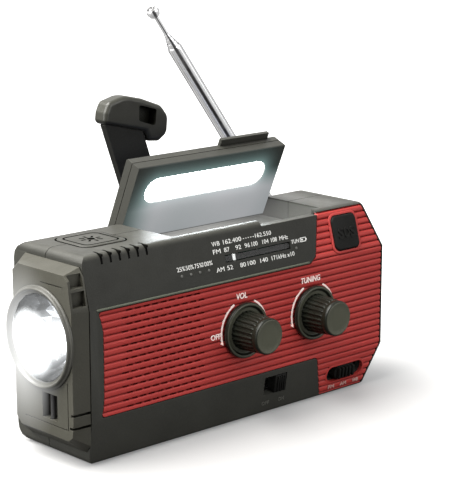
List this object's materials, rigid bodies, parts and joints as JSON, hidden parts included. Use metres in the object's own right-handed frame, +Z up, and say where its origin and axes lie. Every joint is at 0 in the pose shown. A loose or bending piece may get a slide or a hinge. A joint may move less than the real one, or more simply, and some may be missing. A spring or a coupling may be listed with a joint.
{
  "type": "emergency radio",
  "caption": "Hand-crank emergency radio with torch head, flip-up solar lid and reading lamp, ribbed red front, two knobs, alarm button and telescopic antenna.",
  "frame": {"origin": "middle of the overall footprint, crank and antenna included, on the plane of the foot strips", "axes": "+Z up, +X along the case away from the torch, -Y out of the front panel"},
  "size_m": [0.1726, 0.0804, 0.1647],
  "materials": {
    "case_black": "fine-textured olive black",
    "panel_red": "satin red",
    "knob_black": "satin",
    "rubber_black": "matte",
    "antenna_chrome": "polished",
    "steel": "zinc plated",
    "reflector": "faceted mirror",
    "clear_lens": "clear",
    "lamp_diffuser": "opal",
    "solar_cell": "glossy",
    "circuit_board": "solder mask",
    "gear_nylon": "natural",
    "dynamo_metal": "dull",
    "battery_wrap": "shrink sleeve",
    "speaker_paper": "matte",
    "magnet_ferrite": "matte",
    "white_plastic": "satin",
    "inner_black": "matte"
  },
  "bodies": {
    "case": {"front_shell": "case_black", "front_panel": "panel_red", "rear_shell": "case_black", "head_bezel": "case_black", "lanyard_bar": "steel", "lens_ring": "case_black", "flashlight_lens": "clear_lens", "flashlight_reflector": "reflector", "flashlight_led_board": "circuit_board", "lid_hinge_pin": "steel", "vol_potentiometer": "steel", "tuning_capacitor": "white_plastic", "dial_window": "clear_lens", "band_switch_body": "steel", "lamp_switch_body": "steel", "dynamo_housing": "dynamo_metal", "gear_bracket": "steel", "antenna_base": "case_black", "antenna_pivot_screw": "steel", "usb_out_port": "steel", "usb_in_port": "steel", "headphone_jack": "inner_black", "main_pcb": "circuit_board", "battery_cell": "battery_wrap", "speaker_frame": "steel", "speaker_cone": "speaker_paper", "speaker_magnet": "magnet_ferrite", "ferrite_rod": "magnet_ferrite", "foot_strip_1": "rubber_black", "foot_strip_2": "rubber_black", "case_screw_1": "steel", "case_screw_2": "steel", "case_screw_3": "steel"},
    "lid": {"lid_inner_shell": "case_black", "lid_outer_shell": "case_black", "solar_cell": "solar_cell", "lamp_diffuser": "lamp_diffuser", "lamp_led_board": "circuit_board"},
    "crank": {"crank_arm": "case_black", "crank_shaft": "steel", "crank_gear": "gear_nylon", "grip_pin": "steel"},
    "grip": {"crank_grip": "case_black"},
    "idler": {"idler_gear": "gear_nylon"},
    "rotor": {"dynamo_rotor": "dynamo_metal"},
    "volume": {"vol_knob": "knob_black"},
    "tuning": {"tuning_knob": "knob_black"},
    "pointer": {"dial_pointer": "white_plastic"},
    "band_slider": {"band_switch_slider": "rubber_black"},
    "lamp_slider": {"lamp_switch_slider": "rubber_black"},
    "sos": {"sos_button": "rubber_black"},
    "lamp_button": {"top_button": "case_black"},
    "antenna_1": {"antenna_tube_1": "antenna_chrome"},
    "antenna_2": {"antenna_tube_2": "antenna_chrome"},
    "antenna_3": {"antenna_tube_3": "antenna_chrome"},
    "antenna_4": {"antenna_tube_4": "antenna_chrome"},
    "antenna_end": {"antenna_rod": "antenna_chrome", "antenna_tip": "antenna_chrome"},
    "battery_cover": {"battery_door": "case_black"},
    "port_flap": {"port_cover": "rubber_black"}
  },
  "joints": [
    {"name": "lid_hinge", "type": "hinge", "parent": "case", "child": "lid", "pos_m": [-0.0006, 0.01795, 0.0744], "axis": [1, 0, 0], "range_deg": [-8, 66.6]},
    {"name": "crank_turn", "type": "hinge", "parent": "case", "child": "crank", "pos_m": [0.0164, 0.03525, 0.0426], "axis": [0, 1, 0], "continuous": true},
    {"name": "idler_turn", "type": "hinge", "parent": "case", "child": "idler", "pos_m": [0.03337, 0.01065, 0.02563], "axis": [0, 1, 0], "continuous": true},
    {"name": "rotor_turn", "type": "hinge", "parent": "case", "child": "rotor", "pos_m": [0.05489, -0.00135, 0.0302], "axis": [0, 1, 0], "continuous": true},
    {"name": "grip_fold", "type": "hinge", "parent": "crank", "child": "grip", "pos_m": [-0.00661, 0.03525, 0.10723], "axis": [0.9421, 0, 0.3355], "range_deg": [-90, 0]},
    {"name": "volume_turn", "type": "hinge", "parent": "case", "child": "volume", "pos_m": [0.0026, -0.02535, 0.0393], "axis": [0, 1, 0], "range_deg": [-150, 150]},
    {"name": "tuning_turn", "type": "hinge", "parent": "case", "child": "tuning", "pos_m": [0.0419, -0.02535, 0.0393], "axis": [0, 1, 0], "range_deg": [-28, 240]},
    {"name": "pointer_slide", "type": "slide", "parent": "case", "child": "pointer", "axis": [1, 0, 0], "range_m": [-0.0035, 0.0292]},
    {"name": "band_slide", "type": "slide", "parent": "case", "child": "band_slider", "axis": [1, 0, 0], "range_m": [-0.004, 0.004]},
    {"name": "lamp_slide", "type": "slide", "parent": "case", "child": "lamp_slider", "axis": [1, 0, 0], "range_m": [-0.006, 0]},
    {"name": "sos_press", "type": "slide", "parent": "case", "child": "sos", "axis": [0, 0.9637, -0.2669], "range_m": [0, 0.0012]},
    {"name": "lamp_button_press", "type": "slide", "parent": "case", "child": "lamp_button", "axis": [0, 0, -1], "range_m": [0, 0.0012]},
    {"name": "antenna_swing", "type": "hinge", "parent": "case", "child": "antenna_1", "pos_m": [0.0701, 0.02765, 0.0706], "axis": [0, 1, 0], "range_deg": [-53.2, 126.8]},
    {"name": "antenna_slide_2", "type": "slide", "parent": "antenna_1", "child": "antenna_2", "axis": [-0.599, 0, 0.8007], "range_m": [-0.002, 0.075]},
    {"name": "antenna_slide_3", "type": "slide", "parent": "antenna_2", "child": "antenna_3", "axis": [-0.599, 0, 0.8007], "range_m": [-0.002, 0.075]},
    {"name": "antenna_slide_4", "type": "slide", "parent": "antenna_3", "child": "antenna_4", "axis": [-0.599, 0, 0.8007], "range_m": [-0.002, 0.075]},
    {"name": "antenna_slide_5", "type": "slide", "parent": "antenna_4", "child": "antenna_end", "axis": [-0.599, 0, 0.8007], "range_m": [-0.0085, 0.07]},
    {"name": "battery_cover_slide", "type": "slide", "parent": "case", "child": "battery_cover", "axis": [0, 1, 0], "range_m": [0, 0.008]},
    {"name": "port_flap_hinge", "type": "hinge", "parent": "case", "child": "port_flap", "pos_m": [0.0859, 0.01525, 0.0371], "axis": [0, 0, 1], "range_deg": [0, 110]}
  ],
  "couplings": [
    {"joint": "idler_turn", "follows": "crank_turn", "ratio": -2},
    {"joint": "rotor_turn", "follows": "crank_turn", "ratio": 4.2857},
    {"joint": "pointer_slide", "follows": "tuning_turn", "m_per_rad": 0.00692}
  ]
}
